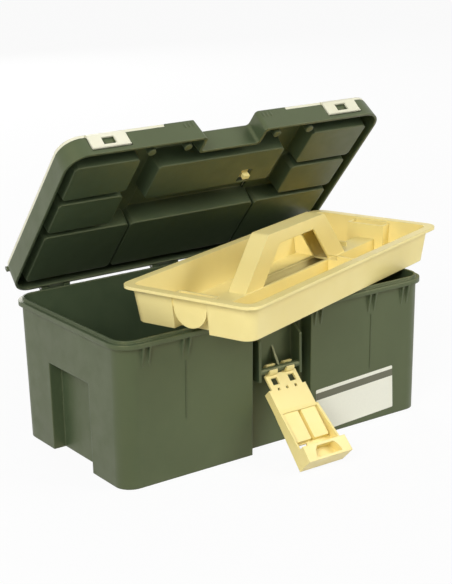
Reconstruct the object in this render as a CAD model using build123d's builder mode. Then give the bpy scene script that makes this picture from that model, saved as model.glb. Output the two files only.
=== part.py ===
from build123d import *
from math import acos, atan2, degrees, hypot
import os

os.makedirs("parts", exist_ok=True)

# Plastic tackle box standing open: the lid leans on the lifted-out tray, the front latch hangs open.
# X runs along the box, -Y is the front, Z is up. The origin is the middle of the tub's underside.

# Clearances shared by every piece
overrun = 5.0
running_fit = 0.05
seat_gap = 0.3
embed = 1.0

# Tub
rim_length = 400.0
rim_depth = 226.0
rim_height = 154.0
rim_corner = 24.0
rim_band = 5.0
rim_overhang = 4.0
base_length = 390.0
base_depth = 208.0
base_corner = 18.0
tub_wall = 2.6
tub_floor = 3.0
lip_height = 3.0
lip_wall = 2.0
notch_width = 73.6
notch_depth = 22.0
notch_relief = 1.5
notch_corner = 4.0
grip_width = 82.0
grip_depth = 14.0
grip_top = 98.0
rib_height = 22.0
rib_width = 2.0
rib_pair = 8.0
rib_places = (47.0, 121.0, 168.0)

# Latch bar across the tub's front channel
bar_radius = 3.5
bar_y = -101.0
bar_z = 88.0
bar_half = 28.0
cheek_width = 3.0
cheek_drop = 10.0
cheek_front_rise = 34.0
cheek_back_rise = 46.0
web_width = 3.0
web_rise = 24.0

# Lid hinge: three sets of knuckles on steel pins
hinge_offset = 4.0
hinge_rise = 3.0
knuckle_radius = 3.7
hinge_pin_radius = 1.5
hinge_width = 35.0
hinge_ear = 8.0
hinge_gap = 0.7
hinge_inset = 56.5
lid_rest_angle = 48.9

# Lid
lid_height = 27.0
lid_draft = 2.0
lid_wall = 2.6
well_wall = 2.2
deck_drop = 3.6
block_rise = 0.8
well_taper = 5.0
well_corner = 2.0
side_well_edge = 14.0
side_well_width = 75.0
front_well_edge = 21.0
front_well_depth = 49.5
middle_well_depth = 45.5
well_row_gap = 8.5
rear_well_edge = 17.0
rear_well_width = 101.8
handle_well_width = 162.0
handle_well_edge = 39.0
handle_well_depth = 52.0
boss_radius = 4.5
boss_inset = 12.0
boss_places = (57.0, 101.0)
fin_width = 1.6
fin_height = 9.0
fin_proud = 1.4
fin_pitch = 5.0
fin_first = 45.0
fin_count = 3

# Organiser covers on the lid
cover_inner = 78.0
cover_edge_gap = 0.3
cover_corner_inset = 0.5
cover_knuckle_radius = 2.1
cover_pin_radius = 1.0
cover_hinge_inset = 12.0
cover_lug = 8.0
cover_lug_gap = 0.8
cover_panel_inset = 12.0
cover_panel_rise = 0.8

# Snap clips on the covers
clip_inset = 51.5
clip_width = 44.0
clip_thickness = 2.4
clip_bottom = 6.8
clip_stand_off = 0.9
clip_knuckle_radius = 1.6
clip_pin_radius = 0.8
clip_pin_grip = 6.0
clip_side_gap = 0.5
clip_window_width = 15.0
clip_window_height = 9.0
clip_window_bottom = 11.0
clip_nub_width = 9.0
clip_nub_height = 5.0
clip_nub_proud = 0.6
pocket_depth = 2.4
pocket_margin = 1.2
clip_foot = 2.0

# Carry handle, folded forwards in its well
handle_pivot_edge = 83.0
handle_pivot_rise = 5.2
handle_reach = 33.0
handle_foot_place = 44.0
handle_foot_width = 14.0
handle_eye_radius = 4.6
handle_pin_radius = 2.0
handle_leg = 12.0
handle_grip_half = 64.0
handle_grip_depth = 13.0
handle_thickness = 7.0
handle_bend = 6.0
handle_round = 2.2
handle_straight = 13.0
bracket_width = 3.4
bracket_radius = 4.2
bracket_gap = 0.4
foot_opening_width = 14.6
foot_opening_front = 14.4
foot_opening_back = 5.0
foot_hook_drop = 11.6
foot_hook_reach = 5.5
foot_hook_width = 8.0
foot_hook_thickness = 2.6
mouth_share = 0.75

# Tray, lying askew across the tub's rims
tray_length = 382.0
tray_depth = 164.0
tray_height = 39.0
tray_corner = 12.0
tray_flange = 7.0
tray_flange_thickness = 3.2
tray_draft = 5.0
tray_wall = 2.2
tray_x = 47.6
tray_y = -58.7
tray_yaw = 20.1
spine_width = 24.0
spine_height = 19.0
slot_half = 66.0
slot_width = 17.0
arch_width = 21.0
arch_rise = 33.0
arch_bar = 13.0
arch_top_half = 56.0
arch_gap_half = 34.0
arch_foot = 34.0
arch_round = 7.0
arch_inner_round = 5.0
arch_shell = 2.4
finger_width = 42.0
finger_depth = 12.0
finger_tab_drop = 12.0
divider_thickness = 2.0
divider_height = 24.0
divider_places = (62.0, 122.0)

# Latch lever, built along its own length from the bar
latch_hook_wall = 2.8
latch_hook_width = 10.0
latch_hook_place = 11.0
latch_hook_half = 20.0
latch_neck_half = 24.0
latch_neck_start = 4.4
latch_neck_step = 22.0
latch_neck_end = 48.0
latch_plate = 2.6
latch_back = 4.0
latch_step = 6.0
latch_flank = 7.4
latch_half = 25.0
latch_tip_half = 28.0
latch_flange = 2.6
latch_flange_low = 0.5
latch_flange_high = 5.0
latch_hook_gap = 1.0
latch_tip = 18.0
latch_tip_reach = 13.0
latch_pad_width = 19.0
latch_pad_length = 36.0
latch_pad_gap = 4.0
latch_pad_chamfer = 1.2
latch_window = 8.0
latch_window_start = 9.0
latch_hole = 3.0
latch_hole_start = 21.0
latch_hole_count = 3
latch_slot_width = 14.0
latch_slot_length = 7.0
latch_slot_place = -13.0
latch_slot_gap = 1.5
latch_pocket_half = 16.0
latch_pocket_depth = 11.0
latch_pocket_edge = 3.0
latch_floor_gap = 0.8

# Derived places
wall_length = rim_length - 2 * rim_overhang
wall_depth = rim_depth - 2 * rim_overhang
lip_inset = rim_overhang + tub_wall - lip_wall
cavity_inset = rim_overhang + tub_wall
grip_face = base_length / 2 - grip_depth
hinge_spread = rim_length / 2 - hinge_inset
hinge_y = rim_depth / 2 + hinge_offset
hinge_z = rim_height + hinge_rise
deck = lid_height - deck_drop
clip_place = rim_length / 2 - clip_inset
well_floor = block_rise + well_wall
latch_hook = rim_height + lid_height - bar_z + latch_hook_gap
latch_length = latch_hook + latch_tip
latch_low = latch_back + latch_step
latch_reach = hypot(latch_length, latch_low)
latch_hang = degrees(atan2(latch_low, latch_length) + acos((bar_z - latch_floor_gap) / latch_reach))
tray_rest = rim_height + lip_height + seat_gap
sides = (-1, 1)

lid_frame = Plane(
    Pos(0, hinge_y, hinge_z) * Rot(-lid_rest_angle, 0, 0) * Pos(0, -hinge_y, -hinge_rise)
)
tray_frame = Plane(Pos(tray_x, tray_y, tray_rest) * Rot(0, 0, tray_yaw))
latch_frame = Plane(Pos(0, bar_y, bar_z) * Rot(90 - latch_hang, 0, 0))


def side_plane(frame, along):
    """Plane square to a frame's length, with the frame's depth and height as its two axes."""
    return Plane(frame.from_local_coords(Vector(along, 0, 0)), x_dir=frame.y_dir, z_dir=frame.x_dir)


def front_plane(frame, across):
    """Plane square to a frame's depth, with the frame's length and height as its two axes."""
    return Plane(frame.from_local_coords(Vector(0, across, 0)), x_dir=frame.x_dir, z_dir=-frame.y_dir)


def rim_outline(inset):
    """Plan of the rim, set in from its outer edge, with the latch notch in its front."""
    RectangleRounded(rim_length - 2 * inset, rim_depth - 2 * inset, rim_corner - inset)
    with Locations((0, -rim_depth / 2)):
        Rectangle(notch_width + 2 * inset, 2 * (notch_depth + inset), mode=Mode.SUBTRACT)
    fillet(vertices().filter_by(lambda v: abs(v.X) < notch_width), radius=notch_corner)


def notch_plan(grow):
    """Plan of the latch notch by itself, grown by the wall that runs round it."""
    with Locations((0, -rim_depth / 2)):
        Rectangle(notch_width + 2 * grow, 2 * (notch_depth + grow))
    fillet(vertices().group_by(Axis.Y)[-1], radius=notch_corner)


def grip_plan(face, width):
    """Plan of the two hand grips in the ends, from a face outwards."""
    reach = rim_length / 2 + overrun - face
    for side in sides:
        with Locations((side * (face + reach / 2), 0)):
            Rectangle(reach, width)


def front_wall(height):
    """Distance from the middle to the outer face of the drafted front wall."""
    return base_depth / 2 + (wall_depth - base_depth) / 2 * height / rim_height


# Tub
with BuildPart() as tub_space:
    with BuildSketch(Plane.XY.offset(tub_floor)):
        RectangleRounded(base_length - 2 * tub_wall, base_depth - 2 * tub_wall, base_corner - tub_wall)
    with BuildSketch(Plane.XY.offset(rim_height)):
        RectangleRounded(wall_length - 2 * tub_wall, wall_depth - 2 * tub_wall, rim_corner - cavity_inset)
    loft(ruled=True)
    with BuildSketch(Plane.XY.offset(rim_height)):
        RectangleRounded(wall_length - 2 * tub_wall, wall_depth - 2 * tub_wall, rim_corner - cavity_inset)
    extrude(amount=lip_height + overrun)
    with BuildSketch(Plane.XY):
        notch_plan(notch_relief + tub_wall)
    extrude(amount=rim_height, mode=Mode.SUBTRACT)
    with BuildSketch(Plane.XY.offset(rim_height - rim_band)):
        notch_plan(cavity_inset)
    extrude(amount=rim_band + lip_height + overrun, mode=Mode.SUBTRACT)
    with BuildSketch(Plane.XY):
        grip_plan(grip_face - tub_wall, grip_width + 2 * tub_wall)
    extrude(amount=grip_top + tub_wall, mode=Mode.SUBTRACT)

with BuildPart() as tub:
    with BuildSketch(Plane.XY):
        RectangleRounded(base_length, base_depth, base_corner)
    with BuildSketch(Plane.XY.offset(rim_height)):
        RectangleRounded(wall_length, wall_depth, rim_corner - rim_overhang)
    loft(ruled=True)
    with BuildSketch(Plane.XY):
        notch_plan(notch_relief)
    extrude(amount=rim_height, mode=Mode.SUBTRACT)
    with BuildSketch(Plane.XY):
        grip_plan(grip_face, grip_width)
    extrude(amount=grip_top, mode=Mode.SUBTRACT)
    with BuildSketch(Plane.XY.offset(rim_height - rim_band)):
        rim_outline(0)
    extrude(amount=rim_band)
    with BuildSketch(Plane.XY.offset(rim_height)):
        rim_outline(lip_inset)
    extrude(amount=lip_height)
    add(tub_space.part, mode=Mode.SUBTRACT)
    # Paired ribs under the front rim
    rib_top = rim_height - rim_band
    rib_foot = rib_top - rib_height
    for place in rib_places:
        for side in sides:
            for pair in sides:
                rib_x = side * place + pair * rib_pair / 2 - rib_width / 2
                with BuildSketch(Plane.YZ.offset(rib_x)):
                    with BuildLine():
                        Polyline(
                            (-rim_depth / 2, rib_top + embed),
                            (-front_wall(rib_top) + embed, rib_top + embed),
                            (-front_wall(rib_foot) + embed, rib_foot),
                            (-front_wall(rib_foot), rib_foot),
                            (-rim_depth / 2, rib_top),
                            close=True,
                        )
                    make_face()
                extrude(amount=rib_width)
    # Latch bar in the front channel, between two cheek plates and with a web behind its middle
    channel_face = -rim_depth / 2 + notch_depth + notch_relief
    cheek_front = bar_y - bar_radius
    for side in sides:
        cheek_x = side * (bar_half - cheek_width / 2) - cheek_width / 2
        with BuildSketch(Plane.YZ.offset(cheek_x)):
            with BuildLine():
                Polyline(
                    (channel_face + embed, bar_z + cheek_back_rise),
                    (channel_face + embed, bar_z - cheek_drop),
                    (cheek_front, bar_z - cheek_drop),
                    (cheek_front, bar_z + cheek_front_rise),
                    close=True,
                )
            make_face()
        extrude(amount=cheek_width)
    with BuildSketch(Plane.YZ.offset(-web_width / 2)):
        with BuildLine():
            Polyline(
                (channel_face + embed, bar_z + web_rise),
                (channel_face + embed, bar_z),
                (bar_y, bar_z),
                (bar_y, bar_z + bar_radius),
                close=True,
            )
        make_face()
    extrude(amount=web_width)
    with BuildSketch(Plane.YZ.offset(-bar_half)):
        with Locations((bar_y, bar_z)):
            Circle(bar_radius)
    extrude(amount=2 * bar_half)
    # Hinge ears on the rear rim
    ear_front = rim_depth / 2 + seat_gap
    for place in (-hinge_spread, 0, hinge_spread):
        for side in sides:
            ear_x = place + side * (hinge_width - hinge_ear) / 2 - hinge_ear / 2
            with BuildSketch(Plane.YZ.offset(ear_x)):
                with BuildLine():
                    Polyline(
                        (rim_depth / 2 - embed, rim_height - rim_band),
                        (rim_depth / 2 - embed, rim_height),
                        (ear_front, rim_height),
                        (ear_front, hinge_z),
                        (hinge_y + knuckle_radius, hinge_z),
                        (rim_depth / 2, rim_height - rim_band),
                        close=True,
                    )
                make_face()
                with Locations((hinge_y, hinge_z)):
                    Circle(knuckle_radius)
                    Circle(hinge_pin_radius + running_fit, mode=Mode.SUBTRACT)
            extrude(amount=hinge_ear)
tub.part.label = "tub"
export_step(tub.part, "parts/tub.step")

# Lid hinge pins
for name, place in (("left", -hinge_spread), ("centre", 0), ("right", hinge_spread)):
    with BuildPart() as hinge_pin:
        with BuildSketch(Plane.YZ.offset(place - hinge_width / 2)):
            with Locations((hinge_y, hinge_z)):
                Circle(hinge_pin_radius)
        extrude(amount=hinge_width)
    hinge_pin.part.label = f"hinge_pin_{name}"
    export_step(hinge_pin.part, f"parts/hinge_pin_{name}.step")

# Lid
front_row = -rim_depth / 2 + front_well_edge
middle_row = front_row + front_well_depth + well_row_gap
rear_row = middle_row + middle_well_depth + well_row_gap
rear_row_end = rim_depth / 2 - rear_well_edge
handle_row = -rim_depth / 2 + handle_well_edge
side_well_outer = rim_length / 2 - side_well_edge
side_well_inner = side_well_outer - side_well_width
rear_well_inner = side_well_outer - rear_well_width


def well_plans(grow):
    """Plans of the side wells and the rear bin at the deck, grown by the wall round them."""
    rows = (
        (front_row, front_row + front_well_depth, side_well_inner),
        (middle_row, middle_row + middle_well_depth, side_well_inner),
        (rear_row, rear_row_end, rear_well_inner),
    )
    for start, end, inner in rows:
        for side in sides:
            with Locations((side * (inner + side_well_outer) / 2, (start + end) / 2)):
                Rectangle(side_well_outer - inner + 2 * grow, end - start + 2 * grow)
    chamfer(vertices(), length=well_corner + grow)


def centre_plans(grow):
    """Plans of the handle well and the open bin behind it, grown by the wall round them."""
    rows = ((handle_row, handle_row + handle_well_depth), (rear_row, rear_row_end))
    for start, end in rows:
        with Locations((0, (start + end) / 2)):
            Rectangle(handle_well_width + 2 * grow, end - start + 2 * grow)
    chamfer(vertices(), length=well_corner + grow)


clip_wall = -rim_depth / 2 + lid_draft * clip_window_bottom / lid_height + pocket_depth

with BuildPart() as lid_space:
    with BuildSketch(lid_frame):
        rim_outline(lid_wall)
    with BuildSketch(lid_frame.offset(lid_height - lid_wall)):
        rim_outline(lid_wall + lid_draft)
    loft(ruled=True)
    # The deck under the covers lies lower
    with BuildSketch(lid_frame.offset(deck - lid_wall)):
        for side in sides:
            with Locations((side * (cover_inner - cover_lug_gap + rim_length / 4), 0)):
                Rectangle(rim_length / 2, rim_depth)
    extrude(amount=deck_drop + overrun, mode=Mode.SUBTRACT)
    with BuildSketch(lid_frame.offset(deck)):
        well_plans(well_wall)
    extrude(amount=-(deck - block_rise), taper=well_taper, mode=Mode.SUBTRACT)
    with BuildSketch(lid_frame.offset(lid_height)):
        centre_plans(well_wall)
    extrude(amount=-(lid_height - block_rise), taper=well_taper, mode=Mode.SUBTRACT)
    # Backing behind the clip pockets, clear of the tub's lip when the lid is shut
    with BuildSketch(lid_frame.offset(lip_height + seat_gap)):
        for side in sides:
            with Locations((side * clip_place, clip_wall)):
                Rectangle(clip_width + 2 * (pocket_margin + lid_wall), 2 * lid_wall)
    extrude(amount=lid_height, mode=Mode.SUBTRACT)
    # Round bosses behind the front wall
    with BuildSketch(lid_frame):
        for place in boss_places:
            with Locations(
                (-place, -rim_depth / 2 + boss_inset),
                (place, -rim_depth / 2 + boss_inset),
            ):
                Circle(boss_radius)
    extrude(amount=lid_height, mode=Mode.SUBTRACT)

with BuildPart() as lid:
    with BuildSketch(lid_frame.offset(seat_gap)):
        rim_outline(0)
    with BuildSketch(lid_frame.offset(lid_height)):
        rim_outline(lid_draft)
    loft(ruled=True)
    add(lid_space.part, mode=Mode.SUBTRACT)
    # Rebates that the covers lie in
    with BuildSketch(lid_frame.offset(deck)):
        for side in sides:
            with Locations((side * (cover_inner - cover_lug_gap + rim_length / 4), 0)):
                Rectangle(rim_length / 2, rim_depth + overrun)
    extrude(amount=deck_drop + overrun, mode=Mode.SUBTRACT)
    with BuildSketch(lid_frame.offset(deck)):
        well_plans(0)
    extrude(amount=-(deck - well_floor), taper=well_taper, mode=Mode.SUBTRACT)
    with BuildSketch(lid_frame.offset(lid_height)):
        centre_plans(0)
    extrude(amount=-(lid_height - well_floor), taper=well_taper, mode=Mode.SUBTRACT)
    # Clip pockets in the front wall, each with its snap nub
    for side in sides:
        with BuildSketch(lid_frame.offset(clip_bottom - pocket_margin)):
            with Locations((side * clip_place, clip_wall - pocket_depth - overrun / 2)):
                Rectangle(clip_width + 2 * pocket_margin, 2 * pocket_depth + overrun)
        extrude(amount=lid_height, mode=Mode.SUBTRACT)
        with BuildSketch(lid_frame.offset(clip_window_bottom + (clip_window_height - clip_nub_height) / 2)):
            with Locations((side * clip_place, clip_wall)):
                Rectangle(clip_nub_width, 2 * clip_nub_proud)
        extrude(amount=clip_nub_height)
    # Small upright fins beside the latch notch
    for side in sides:
        for step in range(fin_count):
            fin_x = side * (fin_first + step * fin_pitch) - fin_width / 2
            with BuildSketch(side_plane(lid_frame, fin_x)):
                with BuildLine():
                    Polyline(
                        (-rim_depth / 2 + lid_draft + embed, lid_height - fin_height),
                        (-rim_depth / 2 + lid_draft + embed, lid_height),
                        (-rim_depth / 2 + lid_draft, lid_height),
                        (-rim_depth / 2 - fin_proud + lid_draft, lid_height - fin_height),
                        close=True,
                    )
                make_face()
            extrude(amount=fin_width)
    # Hinge knuckles on the rear wall
    lid_knuckle = hinge_width - 2 * (hinge_ear + hinge_gap)
    for place in (-hinge_spread, 0, hinge_spread):
        with BuildSketch(side_plane(lid_frame, place - lid_knuckle / 2)):
            with Locations((hinge_y, hinge_rise)):
                Circle(knuckle_radius)
            with BuildLine():
                Polyline(
                    (hinge_y, hinge_rise + knuckle_radius),
                    (rim_depth / 2 - lid_draft, hinge_rise + 2 * knuckle_radius),
                    (rim_depth / 2 - lid_draft, seat_gap),
                    (rim_depth / 2, seat_gap),
                    (hinge_y, hinge_rise - knuckle_radius + seat_gap),
                    close=True,
                )
            make_face()
            with Locations((hinge_y, hinge_rise)):
                Circle(hinge_pin_radius + running_fit, mode=Mode.SUBTRACT)
        extrude(amount=lid_knuckle)
    # Lugs for the covers' hinge pins
    cover_y = rim_depth / 2 - cover_hinge_inset
    cover_z = deck + seat_gap + cover_knuckle_radius
    cover_outer = rim_length / 2 - lid_draft - cover_edge_gap
    for side in sides:
        for inner_end in (cover_inner, cover_outer - cover_lug):
            lug_x = inner_end if side > 0 else -inner_end - cover_lug
            with BuildSketch(side_plane(lid_frame, lug_x)):
                with Locations((cover_y, cover_z)):
                    Circle(cover_knuckle_radius)
                with Locations((cover_y, (cover_z + deck - embed) / 2)):
                    Rectangle(2 * cover_knuckle_radius, cover_z - deck + embed)
                with Locations((cover_y, cover_z)):
                    Circle(cover_pin_radius + running_fit, mode=Mode.SUBTRACT)
            extrude(amount=cover_lug)
    # Brackets for the carry handle, and the opening under its right foot
    pivot_y = -rim_depth / 2 + handle_pivot_edge
    pivot_z = well_floor + handle_pivot_rise
    with BuildSketch(lid_frame.offset(well_floor)):
        with Locations((handle_foot_place, pivot_y + (foot_opening_back - foot_opening_front) / 2)):
            Rectangle(foot_opening_width, foot_opening_back + foot_opening_front)
    extrude(amount=-2 * well_wall, mode=Mode.SUBTRACT)
    bracket_place = handle_foot_width / 2 + bracket_gap + bracket_width / 2
    for side in sides:
        for end in sides:
            bracket_x = side * handle_foot_place + end * bracket_place - bracket_width / 2
            with BuildSketch(side_plane(lid_frame, bracket_x)):
                with Locations((pivot_y, pivot_z)):
                    Circle(bracket_radius)
                with Locations((pivot_y, (pivot_z + well_floor - embed) / 2)):
                    Rectangle(2 * bracket_radius, pivot_z - well_floor + embed)
                with Locations((pivot_y, pivot_z)):
                    Circle(handle_pin_radius + running_fit, mode=Mode.SUBTRACT)
            extrude(amount=bracket_width)
lid.part.label = "lid"
export_step(lid.part, "parts/lid.step")

# Organiser covers, their hinge pins and their snap clips
clip_y = -rim_depth / 2 + lid_draft + cover_edge_gap + clip_knuckle_radius
clip_z = deck + seat_gap + (lid_height - deck - seat_gap) / 2
clip_inner_face = clip_wall - clip_stand_off
clip_outer_face = clip_inner_face - clip_thickness
clip_pin_half = clip_width / 2 + clip_side_gap + clip_pin_grip
for name, side in (("left", -1), ("right", 1)):
    with BuildPart() as cover:
        with BuildSketch(lid_frame.offset(deck + seat_gap)):
            RectangleRounded(
                rim_length - 2 * (lid_draft + cover_edge_gap),
                rim_depth - 2 * (lid_draft + cover_edge_gap),
                rim_corner - lid_draft - cover_corner_inset,
            )
            with Locations((side * (cover_inner + rim_length / 4), 0)):
                Rectangle(rim_length / 2, rim_depth, mode=Mode.INTERSECT)
            with Locations((0, cover_y + rim_depth / 4)):
                Rectangle(rim_length, rim_depth / 2, mode=Mode.SUBTRACT)
            # Room for the lid's lugs and for the clip
            lug_room = cover_lug + cover_lug_gap
            lug_back = 2 * (cover_knuckle_radius + cover_lug_gap)
            for place in (cover_inner + lug_room / 2, cover_outer - lug_room / 2):
                with Locations((side * place, cover_y)):
                    Rectangle(lug_room, lug_back, mode=Mode.SUBTRACT)
            with Locations((side * clip_place, clip_y)):
                Rectangle(
                    clip_width + 2 * clip_side_gap,
                    2 * (clip_knuckle_radius + clip_side_gap),
                    mode=Mode.SUBTRACT,
                )
        extrude(amount=lid_height - deck - seat_gap)
        # Raised panel
        panel_middle = (cover_inner + cover_outer) / 2
        panel_length = cover_outer - cover_inner - 2 * cover_panel_inset
        with BuildSketch(lid_frame.offset(lid_height)):
            with Locations((side * panel_middle, 0)):
                RectangleRounded(panel_length, rim_depth - 4 * cover_panel_inset, well_corner)
        extrude(amount=cover_panel_rise)
        knuckle_start = cover_inner + lug_room
        knuckle_length = cover_outer - cover_inner - 2 * lug_room
        knuckle_x = knuckle_start if side > 0 else -knuckle_start - knuckle_length
        with BuildSketch(side_plane(lid_frame, knuckle_x)):
            with Locations((cover_y, cover_z)):
                Circle(cover_knuckle_radius)
        extrude(amount=knuckle_length)
        with BuildSketch(side_plane(lid_frame, knuckle_x)):
            with Locations((cover_y, cover_z)):
                Circle(cover_pin_radius + running_fit)
        extrude(amount=knuckle_length, mode=Mode.SUBTRACT)
        with BuildSketch(side_plane(lid_frame, side * clip_place - clip_pin_half)):
            with Locations((clip_y, clip_z)):
                Circle(clip_pin_radius + running_fit)
        extrude(amount=2 * clip_pin_half, mode=Mode.SUBTRACT)
    cover.part.label = f"cover_{name}"
    export_step(cover.part, f"parts/cover_{name}.step")

    with BuildPart() as cover_pin:
        pin_x = cover_inner if side > 0 else -cover_outer
        with BuildSketch(side_plane(lid_frame, pin_x)):
            with Locations((cover_y, cover_z)):
                Circle(cover_pin_radius)
        extrude(amount=cover_outer - cover_inner)
    cover_pin.part.label = f"cover_pin_{name}"
    export_step(cover_pin.part, f"parts/cover_pin_{name}.step")

    with BuildPart() as clip:
        with BuildSketch(side_plane(lid_frame, side * clip_place - clip_width / 2)):
            with BuildLine():
                Polyline(
                    (clip_y, clip_z + clip_knuckle_radius),
                    (clip_outer_face + clip_foot, clip_z + clip_knuckle_radius),
                    (clip_outer_face, clip_z - clip_knuckle_radius),
                    (clip_outer_face, clip_bottom + clip_foot),
                    (clip_outer_face - clip_foot / 2, clip_bottom),
                    (clip_inner_face - clip_foot / 2, clip_bottom),
                    (clip_inner_face, clip_bottom + clip_foot),
                    (clip_inner_face, clip_z - clip_knuckle_radius),
                    (clip_y, clip_z - clip_knuckle_radius),
                    close=True,
                )
            make_face()
            with Locations((clip_y, clip_z)):
                Circle(clip_knuckle_radius)
                Circle(clip_pin_radius + running_fit, mode=Mode.SUBTRACT)
        extrude(amount=clip_width)
        with BuildSketch(front_plane(lid_frame, clip_wall)):
            with Locations((side * clip_place, clip_window_bottom + clip_window_height / 2)):
                Rectangle(clip_window_width, clip_window_height)
        extrude(amount=2 * (clip_stand_off + clip_thickness), mode=Mode.SUBTRACT)
    clip.part.label = f"clip_{name}"
    export_step(clip.part, f"parts/clip_{name}.step")

    with BuildPart() as clip_pin:
        with BuildSketch(side_plane(lid_frame, side * clip_place - clip_pin_half)):
            with Locations((clip_y, clip_z)):
                Circle(clip_pin_radius)
        extrude(amount=2 * clip_pin_half)
    clip_pin.part.label = f"clip_pin_{name}"
    export_step(clip_pin.part, f"parts/clip_pin_{name}.step")

# Carry handle on its two pins
grip_front = pivot_y - handle_reach - handle_grip_depth / 2
grip_back = pivot_y - handle_reach + handle_grip_depth / 2
leg_outer = handle_foot_place + handle_leg / 2
leg_inner = handle_foot_place - handle_leg / 2
grip_inner = handle_grip_half - handle_leg
with BuildPart() as carry_handle:
    with BuildSketch(lid_frame.offset(pivot_z - handle_thickness / 2)):
        with BuildLine():
            Polyline(
                (-leg_outer, pivot_y),
                (-leg_outer, pivot_y - handle_straight),
                (-handle_grip_half, grip_back),
                (-handle_grip_half, grip_front),
                (handle_grip_half, grip_front),
                (handle_grip_half, grip_back),
                (leg_outer, pivot_y - handle_straight),
                (leg_outer, pivot_y),
                (leg_inner, pivot_y),
                (leg_inner, pivot_y - handle_straight),
                (grip_inner, grip_back),
                (-grip_inner, grip_back),
                (-leg_inner, pivot_y - handle_straight),
                (-leg_inner, pivot_y),
                close=True,
            )
        make_face()
        fillet(vertices().group_by(Axis.Y)[0], radius=handle_bend)
    extrude(amount=handle_thickness)
    chamfer(carry_handle.edges().filter_by(Axis.X).group_by(Axis.Y)[0], length=handle_round)
    for side in sides:
        with BuildSketch(side_plane(lid_frame, side * handle_foot_place - handle_foot_width / 2)):
            with Locations((pivot_y, pivot_z)):
                Circle(handle_eye_radius)
        extrude(amount=handle_foot_width)
        with BuildSketch(side_plane(lid_frame, side * handle_foot_place - handle_foot_width / 2)):
            with Locations((pivot_y, pivot_z)):
                Circle(handle_pin_radius + running_fit)
            with Locations((pivot_y, pivot_z - handle_eye_radius)):
                Rectangle(2 * mouth_share * handle_pin_radius, 2 * handle_eye_radius)
        extrude(amount=handle_foot_width, mode=Mode.SUBTRACT)
    # Hook under the right foot, which shows through the opening in the block
    with BuildSketch(side_plane(lid_frame, handle_foot_place - foot_hook_width / 2)):
        with BuildLine():
            Polyline(
                (pivot_y - handle_eye_radius, pivot_z),
                (pivot_y - handle_eye_radius - foot_hook_thickness, pivot_z),
                (pivot_y - foot_hook_reach - foot_hook_thickness, pivot_z - foot_hook_drop),
                (pivot_y - foot_hook_reach + foot_hook_thickness, pivot_z - foot_hook_drop),
                close=True,
            )
        make_face()
    extrude(amount=foot_hook_width)
carry_handle.part.label = "carry_handle"
export_step(carry_handle.part, "parts/carry_handle.step")

handle_pin_half = bracket_place + bracket_width / 2
for name, side in (("left", -1), ("right", 1)):
    with BuildPart() as handle_pin:
        with BuildSketch(side_plane(lid_frame, side * handle_foot_place - handle_pin_half)):
            with Locations((pivot_y, pivot_z)):
                Circle(handle_pin_radius)
        extrude(amount=2 * handle_pin_half)
    handle_pin.part.label = f"handle_pin_{name}"
    export_step(handle_pin.part, f"parts/handle_pin_{name}.step")

# Tray
tray_top_length = tray_length - 2 * tray_flange
tray_top_depth = tray_depth - 2 * tray_flange
tray_base_length = tray_top_length - 2 * tray_draft
tray_base_depth = tray_top_depth - 2 * tray_draft
tray_inner_corner = tray_corner - tray_wall
finger_face = tray_base_length / 2 - finger_depth


def finger_plan(face, width):
    """Plan of the finger recess in each end of the tray, from a face outwards."""
    reach = tray_length / 2 + overrun - face
    for side in sides:
        with Locations((side * (face + reach / 2), 0)):
            Rectangle(reach, width)


with BuildPart() as tray_space:
    with BuildSketch(tray_frame.offset(tray_wall)):
        RectangleRounded(
            tray_base_length - 2 * tray_wall, tray_base_depth - 2 * tray_wall, tray_inner_corner
        )
    with BuildSketch(tray_frame.offset(tray_height + overrun)):
        RectangleRounded(
            tray_top_length - 2 * tray_wall, tray_top_depth - 2 * tray_wall, tray_inner_corner
        )
    loft(ruled=True)
    with BuildSketch(tray_frame):
        Rectangle(tray_length, spine_width)
    extrude(amount=spine_height, mode=Mode.SUBTRACT)
    with BuildSketch(tray_frame):
        finger_plan(finger_face - tray_wall, finger_width + 2 * tray_wall)
    extrude(amount=tray_height - tray_flange_thickness, mode=Mode.SUBTRACT)
    with BuildSketch(tray_frame):
        for place, side in zip(divider_places, sides):
            with Locations((place, side * tray_depth / 4)):
                Rectangle(divider_thickness, tray_depth / 2)
    extrude(amount=divider_height, mode=Mode.SUBTRACT)

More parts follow.
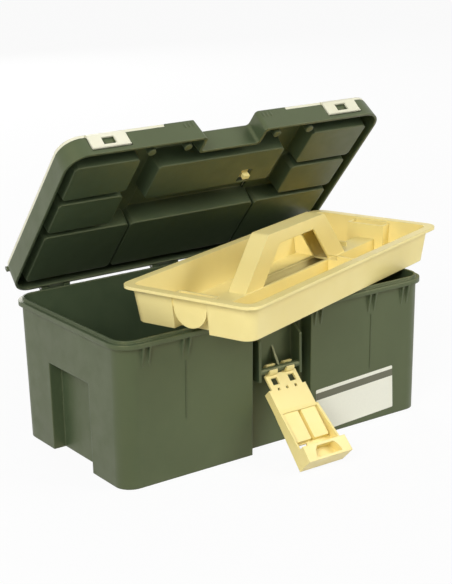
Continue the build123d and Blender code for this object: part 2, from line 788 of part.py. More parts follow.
spine_top = spine_height
arch_top = tray_height + arch_rise
arch_under = arch_top - arch_bar
arch_outer = slot_half + arch_foot
with BuildPart() as tray:
    with BuildSketch(tray_frame):
        RectangleRounded(tray_base_length, tray_base_depth, tray_corner)
    with BuildSketch(tray_frame.offset(tray_height)):
        RectangleRounded(tray_top_length, tray_top_depth, tray_corner)
    loft(ruled=True)
    with BuildSketch(tray_frame):
        finger_plan(finger_face, finger_width)
    extrude(amount=tray_height - tray_flange_thickness, mode=Mode.SUBTRACT)
    with BuildSketch(tray_frame.offset(tray_height - tray_flange_thickness)):
        RectangleRounded(tray_length, tray_depth, tray_corner + tray_flange / 2)
    extrude(amount=tray_flange_thickness)
    add(tray_space.part, mode=Mode.SUBTRACT)
    # The spine is hollow underneath
    with BuildSketch(tray_frame):
        Rectangle(2 * (finger_face - 2 * tray_wall), spine_width - 2 * tray_wall)
    extrude(amount=spine_height - tray_wall, mode=Mode.SUBTRACT)
    # Arch handle on the spine
    with BuildSketch(front_plane(tray_frame, 0)):
        with BuildLine():
            Polyline(
                (-arch_outer, spine_top - tray_wall),
                (-arch_outer, spine_top),
                (-arch_top_half, arch_top),
                (arch_top_half, arch_top),
                (arch_outer, spine_top),
                (arch_outer, spine_top - tray_wall),
                close=True,
            )
        make_face()
        fillet(vertices().group_by(Axis.Y)[-1], radius=arch_round)
    extrude(amount=arch_width / 2, both=True)
    with BuildSketch(front_plane(tray_frame, 0)):
        with BuildLine():
            Polyline(
                (-slot_half, spine_top - 2 * tray_wall),
                (-slot_half, spine_top),
                (-arch_gap_half, arch_under),
                (arch_gap_half, arch_under),
                (slot_half, spine_top),
                (slot_half, spine_top - 2 * tray_wall),
                close=True,
            )
        make_face()
        fillet(vertices().group_by(Axis.Y)[-1], radius=arch_inner_round)
    extrude(amount=slot_width / 2, both=True, mode=Mode.SUBTRACT)
    with BuildSketch(front_plane(tray_frame, 0)):
        with BuildLine():
            Polyline(
                (-slot_half, spine_top),
                (-arch_gap_half, arch_under),
                (arch_gap_half, arch_under),
                (slot_half, spine_top),
                close=True,
            )
        make_face()
        fillet(vertices().group_by(Axis.Y)[-1], radius=arch_inner_round)
    extrude(amount=spine_width, both=True, mode=Mode.SUBTRACT)
    # The handle is a channel, open towards the fingers
    with BuildSketch(front_plane(tray_frame, 0)):
        with BuildLine():
            Polyline(
                (-arch_outer + 2 * arch_shell, spine_top),
                (-arch_top_half + arch_shell, arch_top - arch_shell),
                (arch_top_half - arch_shell, arch_top - arch_shell),
                (arch_outer - 2 * arch_shell, spine_top),
                close=True,
            )
        make_face()
        fillet(vertices().group_by(Axis.Y)[-1], radius=arch_inner_round)
    extrude(amount=arch_width / 2 - arch_shell, both=True, mode=Mode.SUBTRACT)
    # Half-round finger tabs that hang from the end rims
    tab_face = tray_base_length / 2
    tab_middle = tray_height - tray_flange_thickness - finger_tab_drop
    for side in sides:
        tab_x = tab_face if side > 0 else -tab_face - tray_wall
        with BuildSketch(side_plane(tray_frame, tab_x)):
            with Locations((0, tab_middle)):
                Circle(finger_width / 2 - tray_wall / 2)
            with Locations((0, tab_middle + finger_tab_drop)):
                Rectangle(finger_width, 2 * finger_tab_drop)
            with Locations((0, tray_height + tray_depth / 2 - tray_flange_thickness / 2)):
                Rectangle(tray_depth, tray_depth, mode=Mode.SUBTRACT)
        extrude(amount=tray_wall)
tray.part.label = "tray"
export_step(tray.part, "parts/tray.step")

# Latch
neck_face = latch_plate - latch_back
neck_length = latch_neck_end + latch_plate - latch_neck_step
neck_middle = latch_neck_step + neck_length / 2
hook_outer = bar_radius + running_fit + latch_hook_wall
with BuildPart() as latch:
    # Plate under the two hooks, then the wider neck with flanks that stiffen it
    with BuildSketch(latch_frame.offset(-latch_back)):
        with Locations((0, -(latch_neck_start + latch_neck_step) / 2)):
            Rectangle(2 * latch_hook_half, latch_neck_step - latch_neck_start)
        with Locations((0, -neck_middle)):
            Rectangle(2 * latch_neck_half, neck_length)
    extrude(amount=latch_plate)
    for side in sides:
        with BuildSketch(latch_frame.offset(neck_face)):
            with Locations((side * (latch_neck_half - latch_plate / 2), -neck_middle)):
                Rectangle(latch_plate, neck_length)
        extrude(amount=-latch_plate - latch_flank)
    # Wider lower plate, set back by a step
    with BuildSketch(latch_frame.offset(-latch_low)):
        with BuildLine():
            Polyline(
                (-latch_half, -latch_neck_end),
                (-latch_tip_half, -latch_length),
                (latch_tip_half, -latch_length),
                (latch_half, -latch_neck_end),
                close=True,
            )
        make_face()
    extrude(amount=latch_plate)
    # Side flanges, deeper towards the tip
    for side in sides:
        with BuildSketch(side_plane(latch_frame, 0)):
            with BuildLine():
                Polyline(
                    (-latch_neck_end, -latch_low),
                    (-latch_neck_end, latch_flange_low),
                    (-latch_hook, latch_flange_high),
                    (-latch_hook, latch_tip_reach),
                    (-latch_length, latch_tip_reach),
                    (-latch_length, -latch_low),
                    close=True,
                )
            make_face()
        extrude(amount=side * latch_tip_half)
    with BuildSketch(latch_frame.offset(-latch_low + latch_plate)):
        with BuildLine():
            Polyline(
                (-latch_half + latch_flange, -latch_neck_end - latch_plate),
                (-latch_tip_half + latch_flange, -latch_hook),
                (latch_tip_half - latch_flange, -latch_hook),
                (latch_half - latch_flange, -latch_neck_end - latch_plate),
                close=True,
            )
        make_face()
    extrude(amount=latch_tip_reach + latch_low, mode=Mode.SUBTRACT)
    for side in sides:
        with BuildSketch(latch_frame.offset(-latch_low)):
            with BuildLine():
                Polyline(
                    (side * latch_half, -latch_neck_end + overrun),
                    (side * latch_tip_half, -latch_length),
                    (side * latch_tip_half, -latch_length - overrun),
                    (side * (latch_tip_half + overrun), -latch_length - overrun),
                    (side * (latch_tip_half + overrun), -latch_neck_end + overrun),
                    close=True,
                )
            make_face()
        extrude(amount=latch_tip_reach + 2 * latch_low, mode=Mode.SUBTRACT)
    # Two raised pads that carry the neck's face on, and a slot in the plate beyond them
    for side in sides:
        pad_x = side * (latch_pad_width + latch_pad_gap) / 2
        with BuildSketch(latch_frame.offset(-latch_low)):
            with Locations((pad_x, -latch_neck_end - latch_pad_length / 2)):
                Rectangle(latch_pad_width, latch_pad_length)
                chamfer(vertices(), length=latch_pad_chamfer)
        extrude(amount=latch_low + neck_face)
    with BuildSketch(latch_frame.offset(-latch_low)):
        with Locations((latch_slot_place, -latch_hook + latch_slot_gap + latch_slot_length / 2)):
            Rectangle(latch_slot_width, latch_slot_length)
    extrude(amount=latch_plate, mode=Mode.SUBTRACT)
    # Arch pocket in the tip
    with BuildSketch(latch_frame.offset(latch_tip_reach)):
        pocket_middle = -latch_length + latch_pocket_edge
        with Locations((0, pocket_middle)):
            Circle(latch_pocket_half)
        with Locations((0, pocket_middle - latch_pocket_half)):
            Rectangle(2 * latch_pocket_half, 2 * latch_pocket_half, mode=Mode.SUBTRACT)
        with Locations((0, -latch_hook)):
            Rectangle(2 * latch_pocket_half, 2 * latch_pocket_edge, mode=Mode.SUBTRACT)
    extrude(amount=-latch_pocket_depth, mode=Mode.SUBTRACT)
    # Hooks that snap over the bar, open to the front
    for side in sides:
        hook_x = side * latch_hook_place - latch_hook_width / 2
        with BuildSketch(side_plane(latch_frame, hook_x)):
            Circle(hook_outer)
            with Locations((-latch_neck_start, -latch_back + latch_plate / 2)):
                Rectangle(2 * latch_plate, latch_plate)
            Circle(bar_radius + running_fit, mode=Mode.SUBTRACT)
            with Locations((0, hook_outer)):
                Rectangle(2 * mouth_share * bar_radius, 2 * hook_outer, mode=Mode.SUBTRACT)
        extrude(amount=latch_hook_width)
        with BuildSketch(latch_frame.offset(-latch_back)):
            with Locations((side * latch_hook_place, -latch_window_start - latch_window / 2)):
                Rectangle(latch_window, latch_window)
        extrude(amount=latch_plate, mode=Mode.SUBTRACT)
    with BuildSketch(latch_frame.offset(-latch_back)):
        with Locations((0, -latch_hole_start - latch_hole / 2)):
            with GridLocations(latch_hook_place, 0, latch_hole_count, 1):
                Rectangle(latch_hole, latch_hole)
    extrude(amount=latch_plate, mode=Mode.SUBTRACT)
latch.part.label = "latch"
export_step(latch.part, "parts/latch.step")
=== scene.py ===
"""Looks of a moulded plastic tackle box: finishes for its solids, a blank label, ridges and a studio."""

import math
from collections import namedtuple

import bmesh
import bpy
from bpy.props import FloatProperty, FloatVectorProperty, PointerProperty
from bpy.types import Operator, Panel, PropertyGroup
from mathutils import Matrix, Vector


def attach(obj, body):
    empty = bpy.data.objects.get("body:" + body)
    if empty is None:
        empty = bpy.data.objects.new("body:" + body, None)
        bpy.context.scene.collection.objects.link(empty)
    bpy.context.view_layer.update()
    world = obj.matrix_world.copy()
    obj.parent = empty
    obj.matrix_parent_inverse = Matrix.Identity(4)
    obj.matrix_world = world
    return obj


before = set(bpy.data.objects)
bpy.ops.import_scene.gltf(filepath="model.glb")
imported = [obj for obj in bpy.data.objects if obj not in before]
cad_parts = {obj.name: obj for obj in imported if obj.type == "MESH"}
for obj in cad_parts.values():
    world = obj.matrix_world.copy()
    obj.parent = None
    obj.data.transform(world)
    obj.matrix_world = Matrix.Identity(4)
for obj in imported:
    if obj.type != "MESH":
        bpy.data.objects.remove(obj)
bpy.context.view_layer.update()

bl_info = {
    "name": "Tackle Box Looks",
    "version": (1, 0, 0),
    "blender": (4, 5, 0),
    "location": "View3D > Sidebar > Tackle Box",
    "description": "Finishes, label and studio for a moulded plastic tackle box",
    "category": "Object",
}

SHELL_NODES = ("tub", "lid")
CREAM_NODES = ("tray", "latch", "carry_handle")
COVER_NODES = ("cover_left", "cover_right", "clip_left", "clip_right")
PIN_NODES = tuple(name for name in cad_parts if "_pin_" in name)

# The tub's front wall leans out this far over this height, in metres
WALL_LEAN = 0.005
WALL_RISE = 0.154
# The wall's foot is looked for below this height, in metres
FOOT_REACH = 0.001

# Surface of each moulding: its roughness, the strength of its grain, how rubbed its edges are and its shine
Surface = namedtuple("Surface", "roughness grain_strength rubbed shine")
OLIVE_SURFACE = Surface(roughness=0.42, grain_strength=0.12, rubbed=0.35, shine=0.72)
CREAM_SURFACE = Surface(roughness=0.38, grain_strength=0.08, rubbed=0.25, shine=0.5)
PALE_SURFACE = Surface(roughness=0.34, grain_strength=0.06, rubbed=0.2, shine=0.2)

# Moulded texture
MOTTLE_SCALE = 14.0
MOTTLE_DETAIL = 3.0
MOTTLE_SPAN = (0.35, 0.65)
GLOSS_SCALE = 60.0
GLOSS_SPAN = (0.3, 0.7)
SMOOTHER_BY = 0.05
ROUGHER_BY = 0.07
GRAIN_DETAIL = 2.0
GRAIN_ROUGHNESS = 0.6
GRAIN_HEIGHT = 0.0002
EDGE_SAMPLES = 4
EDGE_COSINES = (1.0, 0.75)
RUBBED_GAIN = 1.5
RUBBED_LIFT = 0.03

# Drawn wire and label paper
WIRE_STRETCH = (2500.0, 120.0, 120.0)
WIRE_SPAN = (0.3, 0.7)
WIRE_DETAIL = 3.0
WIRE_ROUGHNESS = (0.25, 0.42)
WIRE_DULL_SHARE = 0.7
FIBRE_SCALE = 420.0
FIBRE_SPAN = (0.3, 0.7)
FIBRE_DETAIL = 4.0
PAPER_ROUGHNESS = (0.38, 0.5)
PAPER_DULL_SHARE = 0.93

# Plates
CORNER_SEGMENTS = 5
RIDGE_CORNER_SHARE = 0.25

# Studio
Lamp = namedtuple("Lamp", "name place aim size watts")
LAMPS = (
    Lamp("key_lamp", place=(-2.15, -1.45, 1.84), aim=(0.0, 0.0, 0.12), size=1.4, watts=68.0),
    Lamp("fill_lamp", place=(2.1, -2.1, 1.85), aim=(0.0, -0.05, 0.1), size=1.6, watts=60.0),
    Lamp("back_lamp", place=(0.8, 3.0, 1.2), aim=(0.0, 0.0, 0.2), size=1.6, watts=46.0),
)
FLOOR_ROUGHNESS = 0.9
FLOOR_GLOW_SHARE = 0.94
BACKDROP_STRENGTH = 1.0
IMAGE_WIDTH = 452
IMAGE_HEIGHT = 584
SENSOR_WIDTH = 36.0
NEAREST_SEEN = 0.01
FARTHEST_SEEN = 100.0


# Settings


def colour(name, description, default):
    return FloatVectorProperty(
        name=name, description=description, subtype="COLOR", size=4, min=0.0, max=1.0, default=default
    )


def length(name, description, default):
    return FloatProperty(name=name, description=description, default=default, unit="LENGTH", precision=4)


def angle(name, description, degrees):
    return FloatProperty(name=name, description=description, default=math.radians(degrees), subtype="ANGLE")


def number(name, description, default):
    return FloatProperty(name=name, description=description, default=default)


class TackleBoxFinishes(PropertyGroup):
    """Colours of the mouldings, the metal and the label, and the mouldings' grain and soft edges."""

    shell: colour("Shell", "Olive green of the tub and the lid", (0.059, 0.086, 0.044, 1.0))
    shell_deep: colour("Shell shade", "Deeper green in the mottling", (0.051, 0.076, 0.039, 1.0))
    shell_gleam: colour("Shell gleam", "Warm tint of what the shell reflects", (1.0, 0.88, 0.45, 1.0))
    cream: colour("Cream", "Warm cream of the tray, the latch and the handle", (0.94, 0.80, 0.34, 1.0))
    cream_deep: colour("Cream shade", "Deeper cream in the mottling", (0.91, 0.76, 0.30, 1.0))
    cover: colour("Cover", "Pale cream of the covers and clips", (0.86, 0.84, 0.66, 1.0))
    cover_deep: colour("Cover shade", "Deeper tone in the covers' mottling", (0.80, 0.78, 0.58, 1.0))
    gleam: colour("Gleam", "Tint of what the cream and pale mouldings reflect", (1.0, 1.0, 1.0, 1.0))
    steel: colour("Steel", "Drawn wire of the pins", (0.55, 0.55, 0.53, 1.0))
    paper: colour("Paper", "Face of the blank label", (0.88, 0.87, 0.74, 1.0))
    band: colour("Label band", "Plain band across the blank label", (0.135, 0.135, 0.085, 1.0))
    grain: number("Grain", "Spots per metre in the moulded texture", 1500.0)
    shell_round: length("Shell rounding", "Softening of the shell's edges in the shading", 0.0022)
    edge_round: length("Edge rounding", "Softening of the other moulded edges in the shading", 0.0009)


class TackleBoxLabel(PropertyGroup):
    """Sizes of the blank label on the tub's front wall."""

    width: length("Width", "Width of the label", 0.108)
    height: length("Height", "Height of the label", 0.050)
    thickness: length("Thickness", "Thickness of the paper", 0.0002)
    corner: length("Corner", "Corner radius of the label", 0.0015)
    along: length("Along", "Middle of the label along the box", 0.101)
    above: length("Above", "Middle of the label above the floor", 0.031)
    stand_off: length("Stand-off", "Gap between the wall and the back of the label", 0.00005)
    band_height: length("Band height", "Height of the plain band", 0.008)
    band_drop: length("Band drop", "Gap between the label's top edge and the band", 0.004)
    ink: length("Ink", "Thickness and corner radius of the plain band", 0.00005)
    turn: angle("Turn", "Tilt of the label", 2.8)


class TackleBoxTrim(PropertyGroup):
    """Sizes of the fine ridges that part the tub's front wall."""

    along: length("Along", "Distance of each ridge from the middle of the box", 0.121)
    above: length("Above", "Middle of each ridge above the floor", 0.0935)
    height: length("Height", "Height of each ridge", 0.063)
    width: length("Width", "Width of each ridge", 0.0013)
    proud: length("Proud", "How far each ridge stands out of the wall", 0.0004)


class TackleBoxStudio(PropertyGroup):
    """Camera, surrounding light and floor."""

    azimuth: angle("Azimuth", "Camera's turn round the box", -34.832)
    elevation: angle("Elevation", "Camera's height angle", 16.302)
    roll: angle("Roll", "Camera's tilt", -1.374)
    focal_pixels: number("Focal length", "Focal length in pixels", 1465.5)
    place: FloatVectorProperty(
        name="Place",
        description="Camera's place",
        subtype="XYZ",
        unit="LENGTH",
        default=(-0.8759, -1.2660, 0.5983),
    )
    floor: colour("Floor", "White of the floor as it throws light back", (0.75, 0.75, 0.75, 1.0))
    floor_half: length("Floor half-width", "Half the width of the floor", 12.0)
    floor_gap: length("Floor gap", "Gap between the box and the floor", 0.0002)
    ambient: number("Ambient", "Strength of the surrounding light", 0.12)


# Materials


def new_material(name):
    """A node material with a principled shader, ready for its textures."""
    material = bpy.data.materials.new(name)
    material.use_nodes = True
    nodes = material.node_tree.nodes
    return material, nodes, material.node_tree.links, nodes["Principled BSDF"]


def object_coords(nodes):
    return nodes.new("ShaderNodeTexCoord").outputs["Object"]


def noise(nodes, links, coords, scale, detail=2.0, rough=0.5):
    texture = nodes.new("ShaderNodeTexNoise")
    texture.inputs["Scale"].default_value = scale
    texture.inputs["Detail"].default_value = detail
    texture.inputs["Roughness"].default_value = rough
    links.new(coords, texture.inputs["Vector"])
    return texture.outputs["Fac"]


def value_range(nodes, links, value, span, new_span):
    """Maps one span of values to another and holds what lies outside at its ends."""
    node = nodes.new("ShaderNodeMapRange")
    node.inputs["From Min"].default_value, node.inputs["From Max"].default_value = span
    node.inputs["To Min"].default_value, node.inputs["To Max"].default_value = new_span
    links.new(value, node.inputs["Value"])
    return node.outputs["Result"]


def mix_colour(nodes, links, factor, first, second):
    """Blends two colours, each a value or the output of another node."""
    node = nodes.new("ShaderNodeMix")
    node.data_type = "RGBA"
    for socket, given in ((node.inputs[6], first), (node.inputs[7], second)):
        if isinstance(given, bpy.types.NodeSocket):
            links.new(given, socket)
        else:
            socket.default_value = given
    links.new(factor, node.inputs["Factor"])
    return node.outputs[2]


def scaled_colour(tint, gain, lift=0.0):
    return tuple(min(1.0, channel * gain + lift) for channel in tint[:3]) + (1.0,)


def moulded_plastic(name, main, shade, gleam, rounding, grain, surface):
    """Satin moulding: soft mottling, fine grain, and softened edges that are rubbed a little lighter."""
    material, nodes, links, shader = new_material(name)
    coords = object_coords(nodes)
    mottle = noise(nodes, links, coords, MOTTLE_SCALE, MOTTLE_DETAIL)
    tone = value_range(nodes, links, mottle, MOTTLE_SPAN, (0.0, 1.0))
    body = mix_colour(nodes, links, tone, tuple(shade), tuple(main))

    softened = nodes.new("ShaderNodeBevel")
    softened.samples = EDGE_SAMPLES
    softened.inputs["Radius"].default_value = rounding
    geometry = nodes.new("ShaderNodeNewGeometry")
    cosine = nodes.new("ShaderNodeVectorMath")
    cosine.operation = "DOT_PRODUCT"
    links.new(softened.outputs["Normal"], cosine.inputs[0])
    links.new(geometry.outputs["Normal"], cosine.inputs[1])
    edge = value_range(nodes, links, cosine.outputs["Value"], EDGE_COSINES, (0.0, surface.rubbed))
    lighter = scaled_colour(main, RUBBED_GAIN, RUBBED_LIFT)
    links.new(mix_colour(nodes, links, edge, body, lighter), shader.inputs["Base Color"])

    gloss = noise(nodes, links, coords, GLOSS_SCALE)
    roughness = (surface.roughness - SMOOTHER_BY, surface.roughness + ROUGHER_BY)
    links.new(value_range(nodes, links, gloss, GLOSS_SPAN, roughness), shader.inputs["Roughness"])
    bump = nodes.new("ShaderNodeBump")
    bump.inputs["Strength"].default_value = surface.grain_strength
    bump.inputs["Distance"].default_value = GRAIN_HEIGHT
    spots = noise(nodes, links, coords, grain, GRAIN_DETAIL, GRAIN_ROUGHNESS)
    links.new(spots, bump.inputs["Height"])
    links.new(softened.outputs["Normal"], bump.inputs["Normal"])
    links.new(bump.outputs["Normal"], shader.inputs["Normal"])
    shader.inputs["Specular IOR Level"].default_value = surface.shine
    shader.inputs["Specular Tint"].default_value = gleam
    return material


def drawn_wire(steel):
    """Steel with fine marks round the wire."""
    material, nodes, links, shader = new_material("drawn_wire")
    stretch = nodes.new("ShaderNodeMapping")
    stretch.inputs["Scale"].default_value = WIRE_STRETCH
    links.new(object_coords(nodes), stretch.inputs["Vector"])
    marks = noise(nodes, links, stretch.outputs["Vector"], 1.0, WIRE_DETAIL)
    dull = scaled_colour(steel, WIRE_DULL_SHARE)
    links.new(mix_colour(nodes, links, marks, dull, tuple(steel)), shader.inputs["Base Color"])
    links.new(value_range(nodes, links, marks, WIRE_SPAN, WIRE_ROUGHNESS), shader.inputs["Roughness"])
    shader.inputs["Metallic"].default_value = 1.0
    return material


def printed_paper(name, tint):
    """Matt coated paper with a faint fibre in it."""
    material, nodes, links, shader = new_material(name)
    fibre = noise(nodes, links, object_coords(nodes), FIBRE_SCALE, FIBRE_DETAIL)
    duller = scaled_colour(tint, PAPER_DULL_SHARE)
    links.new(mix_colour(nodes, links, fibre, duller, tuple(tint)), shader.inputs["Base Color"])
    links.new(value_range(nodes, links, fibre, FIBRE_SPAN, PAPER_ROUGHNESS), shader.inputs["Roughness"])
    return material


def dress(node_names, material):
    """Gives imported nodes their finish."""
    for name in node_names:
        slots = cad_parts[name].data.materials
        slots.clear()
        slots.append(material)


# Pieces


def new_object(name, mesh, material):
    """Turns a bmesh into an object at the origin."""
    data = bpy.data.meshes.new(name)
    mesh.to_mesh(data)
    mesh.free()
    data.materials.append(material)
    made = bpy.data.objects.new(name, data)
    bpy.context.scene.collection.objects.link(made)
    return made


def add_piece(name, mesh, material, body):
    """Adds a piece that rides on a body."""
    piece = new_object(name, mesh, material)
    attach(piece, body)


def plate(width, height, thickness, corner):
    """A flat plate in its own X and Y, standing on Z = 0, with rounded corners."""
    mesh = bmesh.new()
    bmesh.ops.create_cube(mesh, size=1.0)
    bmesh.ops.scale(mesh, vec=(width, height, thickness), verts=mesh.verts)
    bmesh.ops.translate(mesh, vec=(0.0, 0.0, thickness / 2), verts=mesh.verts)
    upright = [edge for edge in mesh.edges if abs(edge.verts[0].co.z - edge.verts[1].co.z) > thickness / 2]
    bmesh.ops.bevel(
        mesh,
        geom=upright,
        offset=corner,
        offset_type="OFFSET",
        segments=CORNER_SEGMENTS,
        profile=0.5,
        affect="EDGES",
        material=-1,
    )
    return mesh


def front_wall_frame(along, above, turn=0.0):
    """Frame on the tub's leaning front wall: X along the wall, Y up it, Z out of it."""
    foot = min(vertex.co.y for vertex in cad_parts["tub"].data.vertices if vertex.co.z < FOOT_REACH)
    lean = math.atan2(WALL_LEAN, WALL_RISE)
    place = Matrix.Translation((along, foot - math.tan(lean) * above, above))
    upright = Matrix.Rotation(math.pi / 2 + lean, 4, "X")
    return place @ upright @ Matrix.Rotation(turn, 4, "Z")


def lay_on_wall(mesh, wall, lift=0.0, out=0.0):
    """Moves a plate to the wall, up it and out of it."""
    bmesh.ops.transform(mesh, matrix=wall @ Matrix.Translation((0.0, lift, out)), verts=mesh.verts)


# Stage


def seen_rays(nodes, links):
    """One where the camera, a reflection or a clear piece looks, zero for light that falls on the box."""
    path = nodes.new("ShaderNodeLightPath")
    total = path.outputs["Is Camera Ray"]
    for kind in ("Is Glossy Ray", "Is Transmission Ray"):
        most = nodes.new("ShaderNodeMath")
        most.operation = "MAXIMUM"
        links.new(total, most.inputs[0])
        links.new(path.outputs[kind], most.inputs[1])
        total = most.outputs["Value"]
    return total


def studio_white(tint):
    """White that mostly glows where it is seen and otherwise throws light back as a floor does."""
    material, nodes, links, shader = new_material("studio_white")
    shader.inputs["Base Color"].default_value = tint
    shader.inputs["Roughness"].default_value = FLOOR_ROUGHNESS
    glow = nodes.new("ShaderNodeEmission")
    glow.inputs["Strength"].default_value = BACKDROP_STRENGTH
    share = nodes.new("ShaderNodeMath")
    share.operation = "MULTIPLY"
    share.inputs[1].default_value = FLOOR_GLOW_SHARE
    links.new(seen_rays(nodes, links), share.inputs[0])
    blend = nodes.new("ShaderNodeMixShader")
    links.new(share.outputs["Value"], blend.inputs["Fac"])
    links.new(shader.outputs["BSDF"], blend.inputs[1])
    links.new(glow.outputs["Emission"], blend.inputs[2])
    links.new(blend.outputs["Shader"], nodes["Material Output"].inputs["Surface"])
    return material


def make_floor(studio):
    """A floor that looks white to the camera and still takes a soft shadow."""
    mesh = bmesh.new()
    bmesh.ops.create_grid(mesh, x_segments=1, y_segments=1, size=studio.floor_half)
    bmesh.ops.translate(mesh, vec=(0.0, 0.0, -studio.floor_gap), verts=mesh.verts)
    floor = new_object("studio_floor", mesh, studio_white(studio.floor))


def make_world(studio):
    """Even white surroundings, dimmer as light than as a backdrop."""
    world = bpy.data.worlds.new("studio_world")
    world.use_nodes = True
    nodes = world.node_tree.nodes
    links = world.node_tree.links
    strengths = (studio.ambient, BACKDROP_STRENGTH)
    strength = value_range(nodes, links, seen_rays(nodes, links), (0.0, 1.0), strengths)
    backdrop = nodes["Background"]
    backdrop.inputs["Color"].default_value = (1.0, 1.0, 1.0, 1.0)
    links.new(strength, backdrop.inputs["Strength"])
    bpy.context.scene.world = world


def make_lamps():
    """Large soft lamps: a key from the left, a fill from the right and one low behind."""
    for lamp in LAMPS:
        light = bpy.data.lights.new(lamp.name, "AREA")
        light.size = lamp.size
        light.energy = lamp.watts
        holder = bpy.data.objects.new(lamp.name, light)
        holder.location = lamp.place
        beam = Vector(lamp.aim) - Vector(lamp.place)
        holder.rotation_euler = beam.to_track_quat("-Z", "Y").to_euler()
        bpy.context.scene.collection.objects.link(holder)


def make_camera(studio):
    """Camera at the photograph's angle, with its focal length given over the frame's long side."""
    lens = bpy.data.cameras.new("camera")
    lens.sensor_width = SENSOR_WIDTH
    lens.lens = studio.focal_pixels / max(IMAGE_WIDTH, IMAGE_HEIGHT) * SENSOR_WIDTH
    lens.clip_start = NEAREST_SEEN
    lens.clip_end = FARTHEST_SEEN
    camera = bpy.data.objects.new("camera", lens)
    turn = Matrix.Rotation(studio.azimuth, 4, "Z")
    tip = Matrix.Rotation(math.pi / 2 - studio.elevation, 4, "X")
    roll = Matrix.Rotation(studio.roll, 4, "Z")
    camera.matrix_world = Matrix.Translation(studio.place) @ turn @ tip @ roll
    bpy.context.scene.collection.objects.link(camera)
    bpy.context.scene.camera = camera


# Operators


class TACKLEBOX_OT_shell(Operator):
    """Finish the tub and the lid in olive green moulded plastic"""

    bl_idname = "tacklebox.shell"
    bl_label = "Finish the shell"

    def execute(self, context):
        finishes = context.scene.tacklebox_finishes
        material = moulded_plastic(
            "olive_moulding",
            finishes.shell,
            finishes.shell_deep,
            finishes.shell_gleam,
            finishes.shell_round,
            finishes.grain,
            OLIVE_SURFACE,
        )
        dress(SHELL_NODES, material)
        return {"FINISHED"}


class TACKLEBOX_OT_cream(Operator):
    """Finish the tray, the latch and the carry handle in cream moulded plastic"""

    bl_idname = "tacklebox.cream"
    bl_label = "Finish the cream parts"

    def execute(self, context):
        finishes = context.scene.tacklebox_finishes
        material = moulded_plastic(
            "cream_moulding",
            finishes.cream,
            finishes.cream_deep,
            finishes.gleam,
            finishes.edge_round,
            finishes.grain,
            CREAM_SURFACE,
        )
        dress(CREAM_NODES, material)
        return {"FINISHED"}


class TACKLEBOX_OT_covers(Operator):
    """Finish the organiser covers and their clips in pale cream"""

    bl_idname = "tacklebox.covers"
    bl_label = "Finish the covers"

    def execute(self, context):
        finishes = context.scene.tacklebox_finishes
        material = moulded_plastic(
            "pale_moulding",
            finishes.cover,
            finishes.cover_deep,
            finishes.gleam,
            finishes.edge_round,
            finishes.grain,
            PALE_SURFACE,
        )
        dress(COVER_NODES, material)
        return {"FINISHED"}


class TACKLEBOX_OT_pins(Operator):
    """Finish the hinge pins in drawn steel wire"""

    bl_idname = "tacklebox.pins"
    bl_label = "Finish the pins"

    def execute(self, context):
        dress(PIN_NODES, drawn_wire(context.scene.tacklebox_finishes.steel))
        return {"FINISHED"}


class TACKLEBOX_OT_label(Operator):
    """Lay a blank label with a plain band on the tub's front wall"""

    bl_idname = "tacklebox.label"
    bl_label = "Make the label"

    def execute(self, context):
        sizes = context.scene.tacklebox_label
        finishes = context.scene.tacklebox_finishes
        wall = front_wall_frame(sizes.along, sizes.above, sizes.turn)
        sheet = plate(sizes.width, sizes.height, sizes.thickness, sizes.corner)
        lay_on_wall(sheet, wall, out=sizes.stand_off)
        add_piece("label_sheet", sheet, printed_paper("label_paper", finishes.paper), "tub")
        band = plate(sizes.width, sizes.band_height, sizes.ink, sizes.ink)
        lift = sizes.height / 2 - sizes.band_drop - sizes.band_height / 2
        lay_on_wall(band, wall, lift, out=sizes.stand_off + sizes.thickness)
        add_piece("label_band", band, printed_paper("label_ink", finishes.band), "tub")
        return {"FINISHED"}


class TACKLEBOX_OT_ridges(Operator):
    """Raise the fine upright ridges on the tub's front wall"""

    bl_idname = "tacklebox.ridges"
    bl_label = "Make the ridges"

    def execute(self, context):
        sizes = context.scene.tacklebox_trim
        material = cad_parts["tub"].data.materials[0]
        for name, along in (("ridge_left", -sizes.along), ("ridge_right", sizes.along)):
            ridge = plate(sizes.width, sizes.height, sizes.proud, sizes.width * RIDGE_CORNER_SHARE)
            lay_on_wall(ridge, front_wall_frame(along, sizes.above))
            add_piece(name, ridge, material, "tub")
        return {"FINISHED"}


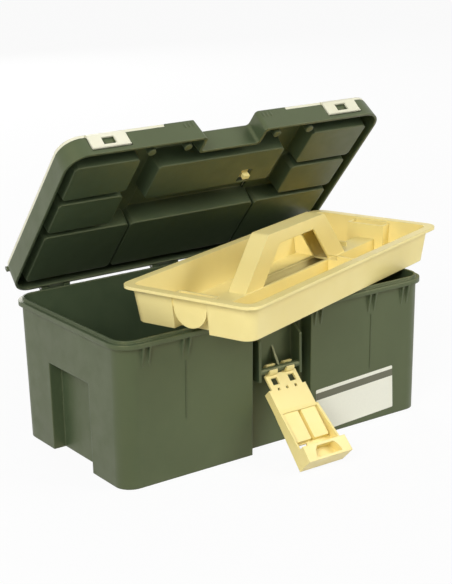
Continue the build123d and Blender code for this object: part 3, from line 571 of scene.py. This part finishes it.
class TACKLEBOX_OT_studio(Operator):
    """Set up the floor, the surroundings, the lamps and the camera"""

    bl_idname = "tacklebox.studio"
    bl_label = "Set up the studio"

    def execute(self, context):
        studio = context.scene.tacklebox_studio
        make_floor(studio)
        make_world(studio)
        make_lamps()
        make_camera(studio)
        context.scene.view_settings.view_transform = "Standard"
        return {"FINISHED"}


# Add-on

GROUPS = {
    "tacklebox_finishes": TackleBoxFinishes,
    "tacklebox_label": TackleBoxLabel,
    "tacklebox_trim": TackleBoxTrim,
    "tacklebox_studio": TackleBoxStudio,
}
OPERATORS = (
    TACKLEBOX_OT_shell,
    TACKLEBOX_OT_cream,
    TACKLEBOX_OT_covers,
    TACKLEBOX_OT_pins,
    TACKLEBOX_OT_label,
    TACKLEBOX_OT_ridges,
    TACKLEBOX_OT_studio,
)


class TACKLEBOX_PT_panel(Panel):
    """Sidebar list of the tackle box's finishing steps and their settings"""

    bl_idname = "TACKLEBOX_PT_panel"
    bl_label = "Tackle Box"
    bl_space_type = "VIEW_3D"
    bl_region_type = "UI"
    bl_category = "Tackle Box"

    def draw(self, context):
        for operator in OPERATORS:
            self.layout.operator(operator.bl_idname)
        for settings in GROUPS:
            group = getattr(context.scene, settings)
            box = self.layout.box()
            for name in group.bl_rna.properties.keys():
                if name not in {"rna_type", "name"}:
                    box.prop(group, name)


CLASSES = tuple(GROUPS.values()) + OPERATORS + (TACKLEBOX_PT_panel,)


def register():
    for item in CLASSES:
        bpy.utils.register_class(item)
    for name, group in GROUPS.items():
        setattr(bpy.types.Scene, name, PointerProperty(type=group))


def unregister():
    for name in GROUPS:
        delattr(bpy.types.Scene, name)
    for item in reversed(CLASSES):
        bpy.utils.unregister_class(item)


def main():
    register()
    bpy.ops.tacklebox.shell()
    bpy.ops.tacklebox.cream()
    bpy.ops.tacklebox.covers()
    bpy.ops.tacklebox.pins()
    bpy.ops.tacklebox.label()
    bpy.ops.tacklebox.ridges()
    bpy.ops.tacklebox.studio()
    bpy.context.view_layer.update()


if __name__ == "__main__":
    main()
